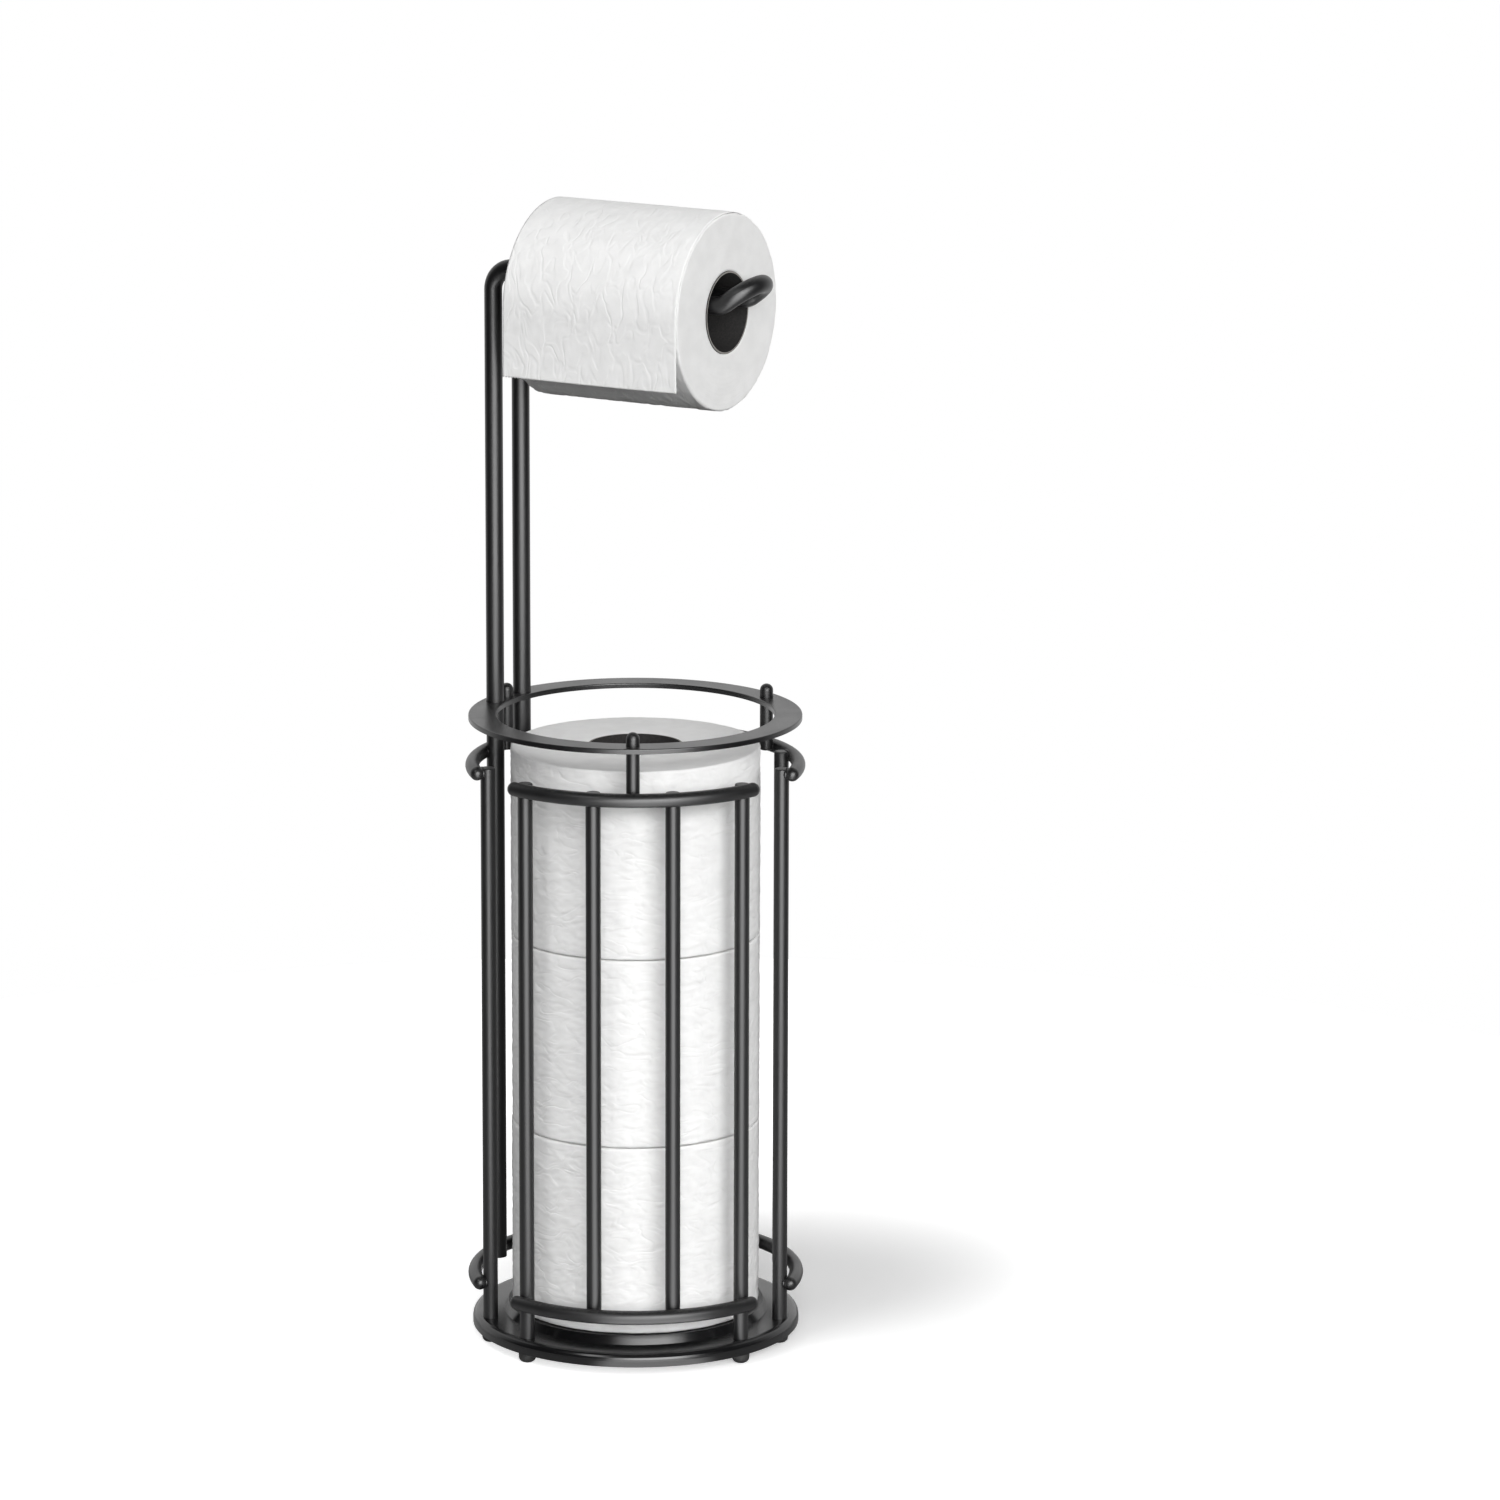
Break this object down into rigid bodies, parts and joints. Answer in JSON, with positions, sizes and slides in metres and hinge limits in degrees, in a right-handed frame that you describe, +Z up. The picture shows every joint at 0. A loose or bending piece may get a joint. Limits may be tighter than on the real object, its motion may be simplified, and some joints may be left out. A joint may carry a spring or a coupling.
{
  "type": "toilet roll storage holder",
  "caption": "Free-standing wire cage on a round base that stores spare toilet rolls in a stack, with a bent tube arm above it that carries the roll in use.",
  "frame": {"origin": "on the floor, on the vertical axis of the cage and its base", "axes": "+Z up, -Y towards the front; the arm leaves the back left of the cage and runs 30 degrees forward of +X"},
  "size_m": [0.1784, 0.1767, 0.6065],
  "materials": {
    "black_metal": "satin black paint",
    "foot_rubber": "matt",
    "tissue": "embossed soft paper",
    "core_card": "matt card"
  },
  "bodies": {
    "stand": {"base_plate": "black_metal", "top_ring": "black_metal", "arm_tube": "black_metal", "leg_1": "black_metal", "leg_2": "black_metal", "leg_3": "black_metal", "leg_4": "black_metal", "leg_5": "black_metal", "leg_6": "black_metal", "bar_1": "black_metal", "bar_2": "black_metal", "bar_3": "black_metal", "bar_4": "black_metal", "lower_rail_1": "black_metal", "lower_rail_2": "black_metal", "lower_rail_3": "black_metal", "upper_rail_1": "black_metal", "upper_rail_2": "black_metal", "upper_rail_3": "black_metal", "hanger_1": "black_metal", "hanger_2": "black_metal", "hanger_3": "black_metal", "foot_1": "foot_rubber", "foot_2": "foot_rubber", "foot_3": "foot_rubber", "foot_4": "foot_rubber", "foot_5": "foot_rubber", "foot_6": "foot_rubber", "loose_sheet": "tissue"},
    "roll_in_use": {"hung_roll": "tissue", "hung_core": "core_card"},
    "spare_1": {"spare_roll_1": "tissue", "spare_core_1": "core_card"},
    "spare_2": {"spare_roll_2": "tissue", "spare_core_2": "core_card"},
    "spare_3": {"spare_roll_3": "tissue", "spare_core_3": "core_card"}
  },
  "joints": [
    {"name": "roll_turn", "type": "hinge", "parent": "stand", "child": "roll_in_use", "pos_m": [0.00288, -0.00166, 0.55415], "axis": [0.866, -0.5, 0], "continuous": true},
    {"name": "lower_roll_lift", "type": "slide", "parent": "stand", "child": "spare_1", "axis": [0, 0, 1], "range_m": [0, 0.028]},
    {"name": "middle_roll_lift", "type": "slide", "parent": "spare_1", "child": "spare_2", "axis": [0, 0, 1], "range_m": [0, 0.028]},
    {"name": "top_roll_lift", "type": "slide", "parent": "spare_2", "child": "spare_3", "axis": [0, 0, 1], "range_m": [0, 0.12]}
  ]
}
